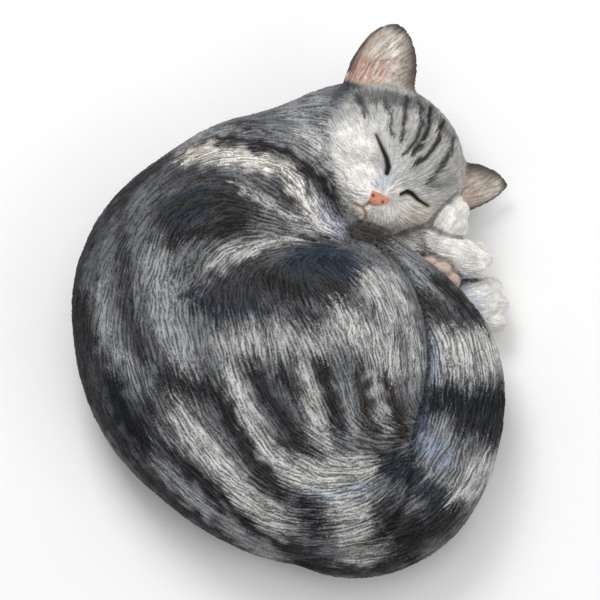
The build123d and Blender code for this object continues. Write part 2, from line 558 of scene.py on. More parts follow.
def comb_torso(p):
    at = face_on(p)
    flow = np.zeros_like(at)
    for line in COMB_LINES:
        for a, b in zip(line, line[1:]):
            away = flat_distance(at, (a, b)) / COMB_REACH
            weight = np.exp(-away * away / 2) + 1e-5 / (1.0 + away * away)
            flow += weight[:, None] * unit(vector(b[0] - a[0], b[1] - a[1])).astype(np.float32)
    return np.stack([flow[:, 0], flow[:, 1] * SIGHT[0], flow[:, 1] * SIGHT[1]], 1)


def comb_tail(p):
    flow = np.zeros_like(p)
    for (a, _), (b, _) in zip(TAIL_LINE, TAIL_LINE[1:]):
        away = tapered(p, a, b, 0.0, 0.0) / COMB_REACH
        flow += np.exp(-away * away / 2)[:, None] * unit(b - a).astype(np.float32)
    return flow


def comb_head(p):
    """The face's fur lies away from the nose."""
    return p - (HEAD_CENTRE + HEAD_AXES @ vector(0, -7, 36)).astype(np.float32)


def comb_ear(p, side):
    _, axes = ear_axes(side)
    up, across = HEAD_AXES @ axes[:, 1], HEAD_AXES @ axes[:, 0]
    e = ear_local(to_head(p), side)
    lean = np.clip(e[:, 0] / EAR_HALF_WIDTHS[side], -1, 1)[:, None].astype(np.float32) * 0.5 - side * 0.55
    return up.astype(np.float32) + lean * across.astype(np.float32)


COMBS = [comb_torso, comb_head]
COMBS += [lambda p, side=side: comb_ear(p, side) for side in EAR_SIDES.values()] + [comb_tail]
PAW_COMBS = [vector(1, -0.25, 0), vector(0.5, 1, 0.5), vector(1, 0.2, 0), vector(1, 0.25, 0)]


def shares(columns, softness):
    """How much each point belongs to each piece, one column for each piece."""
    near = columns - columns.min(1, keepdims=True)
    weight = np.exp(-near / softness)
    return weight / weight.sum(1, keepdims=True)


def comb(p, normals, share):
    """Unit direction of the coat at each point, along the surface."""
    flow = np.zeros_like(p)
    for column in range(len(GROUPS)):
        here = share[:, column] > HELD
        if column < len(COMBS):
            lie = COMBS[column](p[here])
        else:
            lie = np.tile(PAW_COMBS[column - len(COMBS)].astype(np.float32), (int(here.sum()), 1))
        lie = lie / np.maximum(np.linalg.norm(lie, axis=1), 1e-6)[:, None]
        flow[here] += share[here, column][:, None] * lie
    flow = flow - normals * (flow * normals).sum(1)[:, None]
    return flow / np.maximum(np.linalg.norm(flow, axis=1), 1e-6)[:, None]


NOISE_SIDE = 128
NOISE_SHIFT = 4096.0    # cells that keep every place in the noise above zero


def noise_volume(seed, period, spread):
    """Seeded noise that repeats, whose waves are mostly one period long, in cells."""
    rng = np.random.default_rng(seed)
    spectrum = np.fft.rfftn(rng.standard_normal((NOISE_SIDE,) * 3).astype(np.float32))
    f = np.fft.fftfreq(NOISE_SIDE)
    k = np.sqrt(f[:, None, None] ** 2 + f[None, :, None] ** 2 + np.fft.rfftfreq(NOISE_SIDE)[None, None] ** 2)
    spectrum *= np.exp(-0.5 * ((k - 1 / period) / (spread / period)) ** 2)
    volume = np.fft.irfftn(spectrum, (NOISE_SIDE,) * 3)
    return (volume / volume.std()).astype(np.float32).ravel()


TURN = np.array(Matrix.Rotation(0.7, 3, Vector((1, 2, 3)).normalized()), np.float32)


def strokes(p, flow, volume, cell, length, samples):
    """Noise smeared along the coat: one value along each stroke, about -2 to 2."""
    total = np.zeros(len(p), np.float32)
    a, b = (p @ TURN) / cell + NOISE_SHIFT, (flow @ TURN) * (length / cell)
    for step in np.linspace(-0.5, 0.5, samples):
        i = (a + b * np.float32(step)).astype(np.int32) & (NOISE_SIDE - 1)
        total += volume[(i[:, 0] * NOISE_SIDE + i[:, 1]) * NOISE_SIDE + i[:, 2]]
    return total / max(float(total.std()), 1e-6)


def soft_noise(p, volume, cell):
    """Plain seeded noise at each point, about -2 to 2."""
    i = (p @ TURN) / cell + NOISE_SHIFT
    low = np.floor(i).astype(np.int32)
    part = (i - low).astype(np.float32)
    total = np.zeros(len(p), np.float32)
    for corner in itertools.product((0, 1), repeat=3):
        j = (low + np.array(corner, np.int32)) & (NOISE_SIDE - 1)
        weight = np.prod(np.where(np.array(corner) == 1, part, 1 - part), 1)
        total += weight * volume[(j[:, 0] * NOISE_SIDE + j[:, 1]) * NOISE_SIDE + j[:, 2]]
    return total


def swerve(flow, normals, angle):
    """Turns each direction within the surface by a small angle."""
    side = np.cross(normals, flow)
    return flow * np.cos(angle)[:, None] + side * np.sin(angle)[:, None]


def smooth(x):
    x = np.clip(x, 0.0, 1.0)
    return x * x * (3 - 2 * x)


# ------------------------------------------------------------------ the face, in the head's own axes
EYES = [
    [(-7.6, 2.8), (-9.6, 5.6), (-13.5, 7.8), (-19.0, 9.2), (-27.5, 11.6)],
    [(7.4, 2.2), (8.4, 5.6), (11.4, 7.4), (17.0, 8.4), (24.4, 11.2)],
]
EYE_WIDTH = [0.9, 1.15, 1.0, 0.7, 0.3]
MOUTH = [(6.4, -22.8), (2.4, -20.8), (-0.8, -20.6), (-4.2, -22.4)]
LIP_LINE = [(-1.2, -16.0), (-0.8, -20.6)]
NOSE_PAD = [(-6.4, -10.2), (-2.0, -7.6), (4.0, -5.4), (5.2, -8.6), (1.6, -13.6), (-1.6, -17.2)]
NOSTRILS = [(-3.6, -11.8), (2.5, -9.8)]
FACE_FRONT = 8.0        # the features are marked only on what lies in front of this


def flat_distance(at, line, widths=None):
    """Distance in a plane to a line, less its half width there."""
    out = None
    for index, (a, b) in enumerate(zip(line, line[1:])):
        a, b = np.asarray(a, np.float32), np.asarray(b, np.float32)
        along = b - a
        h = np.clip((at - a) @ along / max(float(along.dot(along)), 1e-6), 0.0, 1.0)
        q = at - a - h[:, None] * along
        d = np.sqrt((q * q).sum(1))
        if widths is not None:
            d = d - (widths[index] + (widths[index + 1] - widths[index]) * h)
        out = d if out is None else np.minimum(out, d)
    return out


def face_marks(q):
    """Distances to the eye slits, mouth, nose pad and nostrils of points in the head's axes."""
    at = np.ascontiguousarray(q[:, :2])
    eye = np.minimum(*(flat_distance(at, line, EYE_WIDTH) for line in EYES))
    mouth = np.minimum(flat_distance(at, MOUTH), flat_distance(at, LIP_LINE))
    nose = np.full(len(q), -50.0, np.float32)
    for a, b in zip(NOSE_PAD, NOSE_PAD[1:] + NOSE_PAD[:1]):
        along = unit(vector(b[0] - a[0], b[1] - a[1]))
        nose = np.maximum(nose, (at[:, 1] - a[1]) * along[0] - (at[:, 0] - a[0]) * along[1])
    nostril = np.minimum(*(np.hypot((at[:, 0] - u) * 0.75, at[:, 1] - v) for u, v in NOSTRILS)) - 0.6
    behind = np.where(q[:, 2] < FACE_FRONT, 50.0, 0.0)
    return eye + behind, mouth + behind, nose + behind, nostril + behind


def face_relief(eye, mouth, nose, nostril):
    """Height in mm that the features add."""
    lids = 0.9 * np.exp(-((eye - 2.2) / 1.5) ** 2)
    slit = -1.5 * smooth(1 - (eye + 0.6) / 1.3)
    lips = -1.2 * np.exp(-(mouth / 0.9) ** 2) + 0.35 * np.exp(-((mouth - 2.6) / 1.4) ** 2)
    pad = 0.7 * smooth(0.5 - nose / 1.6)
    holes = -1.6 * smooth(0.6 - nostril / 1.2)
    return lids + slit + lips + pad + holes


# ------------------------------------------------------------------ paint
COLOURS = {
    "black": (26, 26, 28), "coal": (22, 24, 29), "charcoal": (56, 56, 58), "slate": (76, 77, 82),
    "grey": (113, 114, 117), "silver": (160, 161, 163), "pale": (200, 200, 198), "white": (240, 237, 232),
    "warm grey": (184, 182, 179), "cream": (218, 211, 200), "brown": (52, 42, 36), "navy": (27, 34, 46),
    "ink": (44, 55, 68), "blue": (62, 76, 98), "steel": (142, 153, 172), "ice": (180, 187, 199),
    "nose": (206, 142, 122), "slit": (42, 30, 27), "lip": (150, 100, 72), "ear": (204, 189, 177),
    "skin": (208, 158, 142), "tuft": (230, 223, 214), "rim": (92, 83, 78), "pads": (196, 148, 130),
    "clay": (190, 176, 155),
}

# Painted stripes: colour, half width, strength and line, across and up in mm as seen from the front.
# bands that run over the rump and on over the tail's root
RUMP_BANDS = [
    ("pale", 9, 0.9, [(33, -119), (38, -145)]),
    ("black", 3.5, 0.9, [(2, -151), (22, -154), (44, -155), (70, -147)]),
    ("black", 8, 0.9, [(56, -122), (63, -140)]),
    ("black", 10, 0.9, [(71, -133), (88, -123)]),
    ("navy", 8, 0.9, [(56, -94), (70, -102), (82, -113)]),
]

COAT_STRIPES = [
    # the back's black outer edge and the streaks inside it
    ("black", 4, 0.85, [(-71, 81), (-84, 71), (-99, 57), (-112, 40), (-120, 23), (-124, 3), (-123, -19),
                        (-118, -45), (-105, -71), (-90, -92), (-68, -115), (-47, -129), (-22, -144)]),
    ("slate", 3, 0.8, [(-108, 45), (-111, 27), (-112, 9)]),
    ("black", 4, 0.75, [(-96, 52), (-97, 31), (-95, 10), (-91, -14), (-83, -33)]),
    ("silver", 3, 0.85, [(-110, 8), (-106, -13), (-97, -31), (-87, -46)]),
    ("black", 5, 0.85, [(-120, 0), (-116, -22), (-109, -41), (-94, -65), (-83, -84)]),
    ("slate", 1, 0.8, [(-104, -53), (-94, -73)]),
    ("silver", 8, 0.9, [(-76, 20), (-73, -3), (-68, -21), (-60, -33)]),
    ("pale", 6.5, 0.6, [(-38, -24), (-12, -22), (17, -24), (40, -19)]),
    ("black", 2, 0.5, [(-84, -3), (-78, -24), (-70, -40)]),
    # the shoulder's dark patch, with blue lights in it
    ("charcoal", 4, 0.8, [(-79, 63), (-64, 71), (-49, 72), (-34, 67), (-20, 59)]),
    ("charcoal", 12, 0.95, [(-70, 46), (-60, 54), (-44, 57), (-29, 54)]),
    ("black", 3, 0.6, [(-62, 50), (-46, 56), (-33, 53)]),
    ("ink", 2.5, 0.75, [(-68, 58), (-50, 63)]),
    ("ink", 2.5, 0.75, [(-68, 46), (-48, 52)]),
    ("black", 5.5, 0.9, [(-66, 36), (-47, 39), (-27, 43)]),
    ("grey", 3, 0.7, [(-87, 35), (-84, 50), (-75, 65)]),
    # cream, black and silver bands over the withers
    ("cream", 4.5, 0.9, [(-58, 82), (-43, 85), (-24, 80), (-4, 76)]),
    ("black", 3.5, 0.9, [(-43, 93), (-26, 91), (-10, 86), (6, 82)]),
    ("silver", 1.5, 0.85, [(-56, 93), (-40, 97), (-22, 96), (-6, 89)]),
    ("black", 2.5, 0.85, [(-32, 101), (-19, 98), (-7, 93)]),
    ("white", 3, 0.8, [(-43, 83), (-28, 80), (-9, 77)]),
    # the silver neck
    ("silver", 9, 0.9, [(3, 103), (11, 93), (21, 84)]),
    ("silver", 6, 0.85, [(16, 112), (26, 103), (29, 88)]),
    ("pale", 3, 0.85, [(8, 95), (16, 85), (22, 77)]),
    ("pale", 2.5, 0.8, [(23, 100), (29, 91)]),
    ("charcoal", 2, 0.6, [(-12, 106), (-2, 101), (3, 92)]),
    ("charcoal", 2, 0.55, [(11, 109), (17, 101)]),
    ("silver", 1.5, 0.8, [(-12, 98), (-3, 91), (9, 82)]),
    # streaks that run in towards the chest
    ("pale", 2.5, 0.85, [(-28, 66), (-13, 55), (0, 46), (10, 38)]),
    ("pale", 4, 0.85, [(-45, 21), (-32, 28), (-15, 32), (3, 37)]),
    ("grey", 3, 0.6, [(-23, 43), (-4, 41), (7, 38)]),
    ("charcoal", 3, 0.75, [(-7, 64), (2, 53), (7, 45)]),
    ("white", 5, 0.9, [(4, 66), (10, 54), (18, 42)]),
    ("ice", 4.5, 0.85, [(20, 50), (25, 41)]),
    ("black", 5, 0.9, [(9, 74), (19, 67), (28, 56)]),
    ("silver", 1, 0.7, [(12, 80), (20, 73), (25, 66)]),
    # the thigh's dark top and its pale front
    ("charcoal", 13, 0.97, [(-36, 1), (-14, 8), (7, 11), (24, 9)]),
    ("black", 5, 0.6, [(-15, 15), (-4, 7), (8, 3)]),
    ("ink", 9, 0.95, [(6, 23), (19, 26), (31, 20)]),
    ("navy", 5, 0.9, [(-57, 3), (-45, -6)]),
    # a thin black line in the valley along the thigh's top edge: painted shadow in that crease
    ("black", 1, 0.9, [(-45, 6), (-36, 15), (-24, 23), (-9, 30), (7, 35), (27, 34)]),
    ("ink", 4.5, 0.6, [(-37, -4), (-21, -5)]),
    ("charcoal", 4.5, 0.7, [(-27, 17), (-11, 24)]),
    ("black", 3.5, 0.8, [(3, -8), (15, -12)]),
    ("pale", 8, 0.85, [(47, 9), (53, -7), (56, -25), (58, -38)]),
    ("pale", 7, 0.85, [(31, -9), (39, -20), (46, -29)]),
    ("charcoal", 2.5, 0.85, [(47, -5), (49, -12)]),
    ("pale", 3.5, 0.85, [(56, 14), (65, -4), (69, -22), (71, -39)]),
    ("charcoal", 1, 0.75, [(62, -17), (65, -31)]),
    ("silver", 2.5, 0.8, [(70, -41), (68, -52)]),
    # bars down the thigh
    ("pale", 5, 0.9, [(-34, -42), (-24, -67), (-12, -88), (2, -101), (24, -107)]),
    ("pale", 4.5, 0.8, [(9, -41), (12, -60), (17, -79), (23, -91)]),
    ("black", 6, 0.9, [(-21, -41), (-11, -59), (1, -77), (9, -91)]),
    ("black", 5, 0.85, [(-6, -41), (3, -52)]),
    ("black", 4.5, 0.9, [(17, -38), (22, -52), (27, -74)]),
    ("silver", 3, 0.7, [(30, -46), (33, -62), (37, -77)]),
    ("brown", 3, 0.9, [(38, -41), (42, -59), (46, -77)]),
    ("pale", 2.5, 0.85, [(47, -43), (51, -58), (54, -72)]),
    ("brown", 3.5, 0.9, [(54, -46), (60, -60), (63, -77)]),
    ("pale", 7, 0.9, [(9, -98), (25, -100), (41, -95)]),
    ("ice", 3, 0.8, [(11, -110), (27, -112), (43, -106)]),
    ("brown", 2.5, 0.85, [(50, -87), (59, -83), (66, -74)]),
    # long bands over the loins and rump
    ("black", 7.5, 0.9, [(-71, -46), (-57, -49), (-43, -54)]),
    ("black", 5, 0.9, [(-83, -61), (-70, -82), (-56, -99), (-39, -113), (-21, -129), (-3, -140)]),
    ("black", 4.5, 0.9, [(-41, -55), (-33, -73), (-21, -92), (-6, -110)]),
    ("pale", 6.5, 0.95, [(-63, -67), (-51, -84), (-37, -99), (-23, -115), (-7, -128)]),
    ("silver", 2, 0.6, [(-76, -71), (-63, -87)]),
    ("silver", 3.5, 0.85, [(-75, -94), (-61, -108), (-43, -123), (-27, -136), (-11, -146)]),
    ("coal", 6, 0.9, [(-101, -49), (-97, -63), (-86, -79)]),
    ("black", 6, 0.9, [(10, -117), (16, -131)]),
    ("black", 5, 0.85, [(0, -142), (14, -147)]),
] + RUMP_BANDS

TAIL_STRIPES = [
    ("silver", 17, 0.5, [(55, 18), (82, -12), (97, -48), (93, -88), (86, -110)]),
    ("silver", 7, 0.85, [(47, 22), (58, 14), (68, 8)]),
    ("charcoal", 7, 0.9, [(71, 1), (84, -6), (94, -11)]),
    ("black", 4, 0.9, [(83, 12), (95, 1), (108, -12)]),
    ("pale", 11, 0.95, [(87, -30), (112, -29)]),
    ("steel", 4.5, 0.75, [(79, -23), (83, -39)]),
    ("coal", 9.5, 0.97, [(83, -57), (118, -58)]),
    ("coal", 8, 0.9, [(100, -70), (118, -74)]),
    ("blue", 3.5, 0.85, [(72, -43), (74, -58), (72, -73)]),
    ("steel", 5, 0.9, [(76, -80), (90, -91)]),
    ("blue", 2.5, 0.8, [(69, -78), (71, -86)]),
    ("pale", 5.5, 0.9, [(97, -112), (112, -93)]),
    ("charcoal", 3, 0.6, [(99, -86), (114, -83)]),
    ("brown", 7.5, 0.95, [(34, 34), (41, 40), (51, 36)]),
] + RUMP_BANDS

FACE_STRIPES = [
    # silver temple, white right cheek and cream chin
    ("silver", 5, 0.9, [(26, 112), (25, 94)]),
    ("white", 13, 0.97, [(35, 89), (36, 74), (42, 62)]),
    ("pale", 5, 0.8, [(52, 104), (57, 90), (60, 78)]),
    ("pale", 5.5, 0.85, [(64, 70), (81, 59)]),
    ("cream", 7.5, 0.95, [(57, 53), (70, 51), (83, 46)]),
    ("white", 4.5, 0.85, [(46, 53), (60, 50)]),
    ("white", 4.5, 0.85, [(51, 69), (66, 56)]),
    ("pale", 5, 0.85, [(57, 72), (64, 85)]),
    ("ice", 3.5, 0.8, [(51, 66), (55, 70)]),
    # dark crown and the forehead's bars
    ("slate", 4.5, 0.75, [(38, 117), (53, 115), (67, 113)]),
    ("charcoal", 2, 0.8, [(37, 117), (42, 107)]),
    ("charcoal", 3, 0.6, [(73, 114), (81, 106)]),
    ("charcoal", 2.5, 0.6, [(85, 103), (92, 92)]),
    ("charcoal", 1.2, 0.9, [(54, 113), (57, 103), (58, 94)]),
    ("charcoal", 1.3, 0.95, [(66, 115), (65, 103), (63, 91)]),
    ("charcoal", 1.6, 0.95, [(73, 112), (75, 101), (71, 91), (65, 84)]),
    ("black", 1.8, 0.95, [(79, 110), (79, 101), (76, 92), (70, 84)]),
    ("black", 1.6, 0.95, [(86, 102), (84, 91), (78, 83), (71, 78)]),
    ("charcoal", 1.4, 0.95, [(92, 92), (90, 82), (83, 73), (79, 67)]),
    ("charcoal", 1, 0.6, [(79, 66), (86, 64)]),
    ("charcoal", 1, 0.5, [(81, 70), (87, 74)]),
    ("grey", 2.5, 0.5, [(83, 65), (91, 68)]),
    ("cream", 3, 0.85, [(36, 52), (48, 47)]),
]

PAW_STRIPES = [
    # the ice band on the hind foot, where it comes out from under the tail, is painted shadow
    ("ice", 7, 0.85, [(96, 8), (103, -4)]),
    ("charcoal", 5, 0.85, [(58, 42), (67, 38)]),
    ("slate", 5, 0.85, [(46, 42), (54, 37)]),
    ("slate", 3, 0.85, [(74, 41), (76, 27)]),
    ("silver", 2, 0.7, [(83, 36), (84, 24)]),
]

# each table's ground colour, its stripes, and half the width of the softest edge that a thin one has
COAT = ("grey", COAT_STRIPES, 1.7)
TAIL_COAT = ("grey", TAIL_STRIPES, 1.7)
FACE = ("warm grey", FACE_STRIPES, 0.6)
PAWS = ("white", PAW_STRIPES, 1.2)
EAR_BACK = ("slate", [], 1.0)
COATS = [COAT, FACE, EAR_BACK, EAR_BACK, TAIL_COAT] + [PAWS] * 4

FEATHER_REACH = 3.8     # mm that the strokes drag a stripe's edge along the coat
BLOTCH_REACH = 1.3      # mm that a stripe's edge wanders


def linear(name):
    c = np.array(COLOURS[name], np.float32) / 255
    return np.where(c < 0.04045, c / 12.92, ((c + 0.055) / 1.055) ** 2.4).astype(np.float32)


def lay(colour, name, mask):
    """Lays a colour over the paint where the mask is near 1."""
    colour += (linear(name) - colour) * np.clip(mask, 0, 1)[:, None].astype(np.float32)


def striped(at, ground, stripes, least):
    colour = np.tile(linear(ground), (len(at), 1))
    for name, half, strength, line in stripes:
        edge = min(least + 0.45 * half, 6.0)
        corners = np.array(line, np.float32)
        near = ((at > corners.min(0) - half - edge) & (at < corners.max(0) + half + edge)).all(1)
        if near.any():
            patch = colour[near]
            lay(patch, name, strength * smooth((half + edge - flat_distance(at[near], line)) / (2 * edge)))
            colour[near] = patch
    return colour


def paint_ear(colour, p, normals, side, tuft):
    """Bare skin and white tufts in the ear's hollow, painted shade across the hollow on the side next to the
    crown, and a dark rim.
    """
    e = ear_local(to_head(p), side)
    half, _, rise = ear_shape(e, side)
    _, axes = ear_axes(side)
    facing = normals @ (HEAD_AXES @ axes[:, 2]).astype(np.float32)
    crown = -side * e[:, 0] / np.maximum(half, 0.5)     # 1 at the edge next to the crown, -1 at the other
    inside = smooth(facing * 2.5 + 0.3) * smooth((e[:, 1] + 3.0) / 4.0)
    lay(colour, "ear", inside)
    lay(colour, "skin", 0.6 * inside * smooth((0.5 - crown) / 0.6) * smooth((0.62 - rise) / 0.4))
    lay(colour, "tuft", 0.9 * inside * smooth(tuft * 1.3 + 0.15) * smooth((crown + 0.75) / 0.5))
    # the rim colour laid across the hollow, strongest next to the crown, is painted shade
    lay(colour, "rim", 0.8 * inside * smooth((crown - 0.15) / 0.75))
    edge = np.maximum(smooth((np.abs(crown) - 0.72) / 0.26), smooth((rise - 0.8) / 0.18))
    lay(colour, "rim", edge * smooth((e[:, 1] - 1.0) / 4.0))


def paint_face(colour, p):
    """The lips, nose, nostrils and the shut eyes' lines."""
    eye, mouth, nose, nostril = face_marks(to_head(p))
    lay(colour, "lip", 0.7 * smooth(1.0 - mouth / 1.5))
    lay(colour, "nose", smooth(0.5 - nose / 1.2))
    lay(colour, "slit", 0.9 * smooth(0.5 - nostril / 1.2))
    lay(colour, "slit", 0.45 * smooth(1.0 - eye / 1.8))
    lay(colour, "slit", smooth(0.7 - eye / 0.9))


def paint_pads(colour, p):
    """Pink pads on the toes of the foot that is turned up."""
    lay(colour, "pads", 0.62 * smooth((p[:, 0] - 74.0) / 4.0))


def paint(p, normals, share, coat):
    """Colour of every point, in linear light."""
    dragged = p + coat["flow"] * (coat["feather"] * FEATHER_REACH)[:, None]
    at = face_on(dragged) + coat["blotch"] * BLOTCH_REACH
    colour = np.zeros_like(p)
    for column, (name, table) in enumerate(zip(GROUPS, COATS)):
        here = share[:, column] > HELD
        own = striped(at[here], *table)
        if name in EAR_SIDES:
            paint_ear(own, p[here], normals[here], EAR_SIDES[name], coat["tuft"][here])
        elif name == "head_shell":
            paint_face(own, p[here])
        elif name == "right_hind_foot":
            paint_pads(own, p[here])
        colour[here] += share[here, column][:, None] * own
    lay(colour, "clay", smooth((5.0 - p[:, 2]) / 2.0) * smooth(-normals[:, 2] * 2 - 0.6))
    return colour


# ------------------------------------------------------------------ cutting into the pieces
def neighbours(quads):
    """For each quad the quad across each of its four edges."""
    _, index = quad_edges(quads)
    flat = index.ravel()
    order = np.argsort(flat, kind="stable")
    pair = order.reshape(-1, 2)
    across = np.empty(len(flat), np.int64)
    across[pair[:, 0]], across[pair[:, 1]] = pair[:, 1] // 4, pair[:, 0] // 4
    return across.reshape(-1, 4)


SMALLEST = 600      # an island with fewer faces than this joins the piece around it


def label_quads(quads, columns):
    """Which piece each quad belongs to, with ragged edges and islands cleaned away."""
    label = columns[quads].mean(1).argmin(1)
    beside = neighbours(quads)
    for _ in range(8):
        around = label[beside]
        for piece in range(len(GROUPS)):
            label = np.where((around == piece).sum(1) >= 3, piece, label)
    for _ in range(3):
        island = np.arange(len(quads))
        while True:
            before = island
            for k in range(4):
                other = island[beside[:, k]]
                island = np.where((label[beside[:, k]] == label) & (other < island), other, island)
            island = island[island]
            if (island == before).all():
                break
        sizes = np.bincount(island, minlength=len(quads))
        small = sizes[island] < SMALLEST
        if not small.any():
            break
        votes = np.zeros((len(quads), len(GROUPS)), np.int32)
        for k in range(4):
            rows = small & (label[beside[:, k]] != label)
            np.add.at(votes, (island[rows], label[beside[rows, k]]), 1)
        label = np.where(small, votes[island].argmax(1), label)
    return label


def boundary_loops(faces):
    """Closed loops of points around the open edges of some quads, in the faces' own direction."""
    start, end = faces.ravel(), np.roll(faces, -1, 1).ravel()
    top = int(faces.max()) + 1
    open_edges = np.isin(start * top + end, end * top + start, invert=True)
    onward = {}
    for a, b in zip(start[open_edges].tolist(), end[open_edges].tolist()):
        onward.setdefault(a, []).append(b)
    loops = []
    while onward:
        first = next(iter(onward))
        loop, here = [], first
        while here in onward:
            loop.append(here)
            ahead = onward[here].pop()
            if not onward[here]:
                del onward[here]
            here = ahead
        loops.append(loop)
    return loops


def cap_loop(loop, points):
    """Triangles that close a loop, always cutting off the corner with the shortest new edge."""
    count = len(loop)
    before, after = [(i - 1) % count for i in range(count)], [(i + 1) % count for i in range(count)]
    place = [points[v] for v in loop]

    def entry(i):
        gap = place[before[i]] - place[after[i]]
        return (float(gap.dot(gap)), i, before[i], after[i])

    heap = [entry(i) for i in range(count)]
    heapq.heapify(heap)
    gone, triangles, left = [False] * count, [], count
    while left > 2 and heap:
        _, i, a, b = heapq.heappop(heap)
        if gone[i] or before[i] != a or after[i] != b:
            continue
        triangles.append((loop[b], loop[i], loop[a]))
        gone[i] = True
        left -= 1
        after[a], before[b] = b, a
        heapq.heappush(heap, entry(a))
        heapq.heappush(heap, entry(b))
    return triangles


SEAM_DEPTH = 5.0    # how far a seam reaches in before it is closed


def piece_mesh(name, points, normals, faces, colour, carve):
    """One piece as a closed mesh that carries its paint and its carving as attributes."""
    used = np.unique(faces)
    order = np.full(len(points), -1, np.int64)
    order[used] = np.arange(len(used))
    quads = order[faces]
    local, facing = points[used].astype(float), normals[used].astype(float)
    rims, skirts, caps = [], [], []
    for loop in boundary_loops(quads):
        ring = len(used) + sum(len(rim) for rim in rims) + np.arange(len(loop))
        around = np.array(loop)
        rims.append(around)
        local = np.concatenate([local, local[around] - facing[around] * SEAM_DEPTH])
        skirts.append(np.stack([np.roll(around, -1), around, ring, np.roll(ring, -1)], 1))
        caps += cap_loop(ring.tolist(), local)
    used = np.concatenate([used] + [used[rim] for rim in rims])
    quads = np.concatenate([quads] + skirts)
    caps = np.array(caps, np.int64).reshape(-1, 3)
    mesh = bpy.data.meshes.new(name)
    mesh.vertices.add(len(used))
    mesh.vertices.foreach_set("co", (local * MM).ravel())
    mesh.loops.add(quads.size + caps.size)
    mesh.loops.foreach_set("vertex_index", np.concatenate([quads.ravel(), caps.ravel()]).astype(np.int32))
    mesh.polygons.add(len(quads) + len(caps))
    starts = np.concatenate([np.arange(len(quads)) * 4, quads.size + np.arange(len(caps)) * 3])
    mesh.polygons.foreach_set("loop_start", starts.astype(np.int32))
    mesh.update(calc_edges=True)
    mesh.validate()
    mesh.shade_smooth()
    tint = mesh.attributes.new("paint", "FLOAT_COLOR", "POINT")
    tint.data.foreach_set("color", np.concatenate([colour[used], np.ones((len(used), 1))], 1).ravel())
    depth = mesh.attributes.new("carve", "FLOAT", "POINT")
    depth.data.foreach_set("value", carve[used])
    mesh.normals_split_custom_set_from_vertices(normals[used].tolist())
    piece = bpy.data.objects.new(name, mesh)
    bpy.context.scene.collection.objects.link(piece)
    return piece


# ------------------------------------------------------------------ materials
def new_material(name):
    """A material with its nodes, links, shader and place on the object."""
    material = bpy.data.materials.new(name)
    material.use_nodes = True
    nodes = material.node_tree.nodes
    shader, place = nodes["Principled BSDF"], nodes.new("ShaderNodeTexCoord")
    return material, nodes, material.node_tree.links, shader, place


def rough_surface(nodes, links, shader, height, strength, distance):
    """Fine grain as bump, at a depth in metres."""
    bump = nodes.new("ShaderNodeBump")
    bump.inputs["Strength"].default_value = strength
    bump.inputs["Distance"].default_value = distance
    links.new(height.outputs["Fac"], bump.inputs["Height"])
    links.new(bump.outputs["Normal"], shader.inputs["Normal"])


def attribute(nodes, name):
    node = nodes.new("ShaderNodeAttribute")
    node.attribute_name = name
    return node


def noise(nodes, links, place, scale, detail):
    node = nodes.new("ShaderNodeTexNoise")
    node.inputs["Scale"].default_value = scale
    node.inputs["Detail"].default_value = detail
    links.new(place.outputs["Object"], node.inputs["Vector"])
    return node


def blend(nodes, links, kind, factor, a, b):
    node = nodes.new("ShaderNodeMix")
    node.data_type, node.blend_type = "RGBA", kind
    for value, socket in ((factor, node.inputs[0]), (a, node.inputs[6]), (b, node.inputs[7])):
        if isinstance(value, (float, tuple)):
            socket.default_value = value
        else:
            links.new(value, socket)
    return node.outputs[2]


def spread(nodes, links, value, low, high, to_low, to_high):
    node = nodes.new("ShaderNodeMapRange")
    for key, number in (("From Min", low), ("From Max", high), ("To Min", to_low), ("To Max", to_high)):
        node.inputs[key].default_value = number
    links.new(value, node.inputs["Value"])
    return node.outputs["Result"]


def painted_ceramic(name, dark, dry, rough):
    """Matt paint on carved clay: dark paint washed into the grooves and pale paint dry-brushed on the
    ridges, which also stand for painted shade in the grooves and painted highlight on the ridges; speckle
    and fine grain.
    """
    material, nodes, links, shader, place = new_material(name)
    tint, carve = attribute(nodes, "paint"), attribute(nodes, "carve")
    patch = noise(nodes, links, place, 160.0, 4.0)
    grain = noise(nodes, links, place, 1500.0, 3.0)
    # dark and dry set how far the carving's depth darkens the grooves, as washed paint and as painted shade,
    # and lightens the ridges, as dry-brushed paint and as painted highlight
    groove_wash_and_shade = spread(nodes, links, carve.outputs["Fac"], -0.1, 0.9, 0.0, dark)
    ridge_brush_and_highlight = spread(nodes, links, carve.outputs["Fac"], -0.1, -0.9, 0.0, dry)
    colour = blend(nodes, links, "MULTIPLY", groove_wash_and_shade, tint.outputs["Color"], (0.07, 0.065, 0.06, 1.0))
    colour = blend(nodes, links, "DODGE", ridge_brush_and_highlight, colour, (0.42, 0.42, 0.42, 1.0))
    shade = spread(nodes, links, patch.outputs["Fac"], 0.3, 0.7, 0.78, 1.18)
    colour = blend(nodes, links, "MULTIPLY", 1.0, colour, shade)
    speck = spread(nodes, links, grain.outputs["Fac"], 0.3, 0.7, 0.86, 1.12)
    colour = blend(nodes, links, "MULTIPLY", 1.0, colour, speck)
    links.new(colour, shader.inputs["Base Color"])
    links.new(spread(nodes, links, patch.outputs["Fac"], 0.3, 0.7, rough - 0.08, rough + 0.1),
              shader.inputs["Roughness"])
    shader.inputs["Specular IOR Level"].default_value = 0.15
    rough_surface(nodes, links, shader, grain, 0.5, 0.00018)
    return material


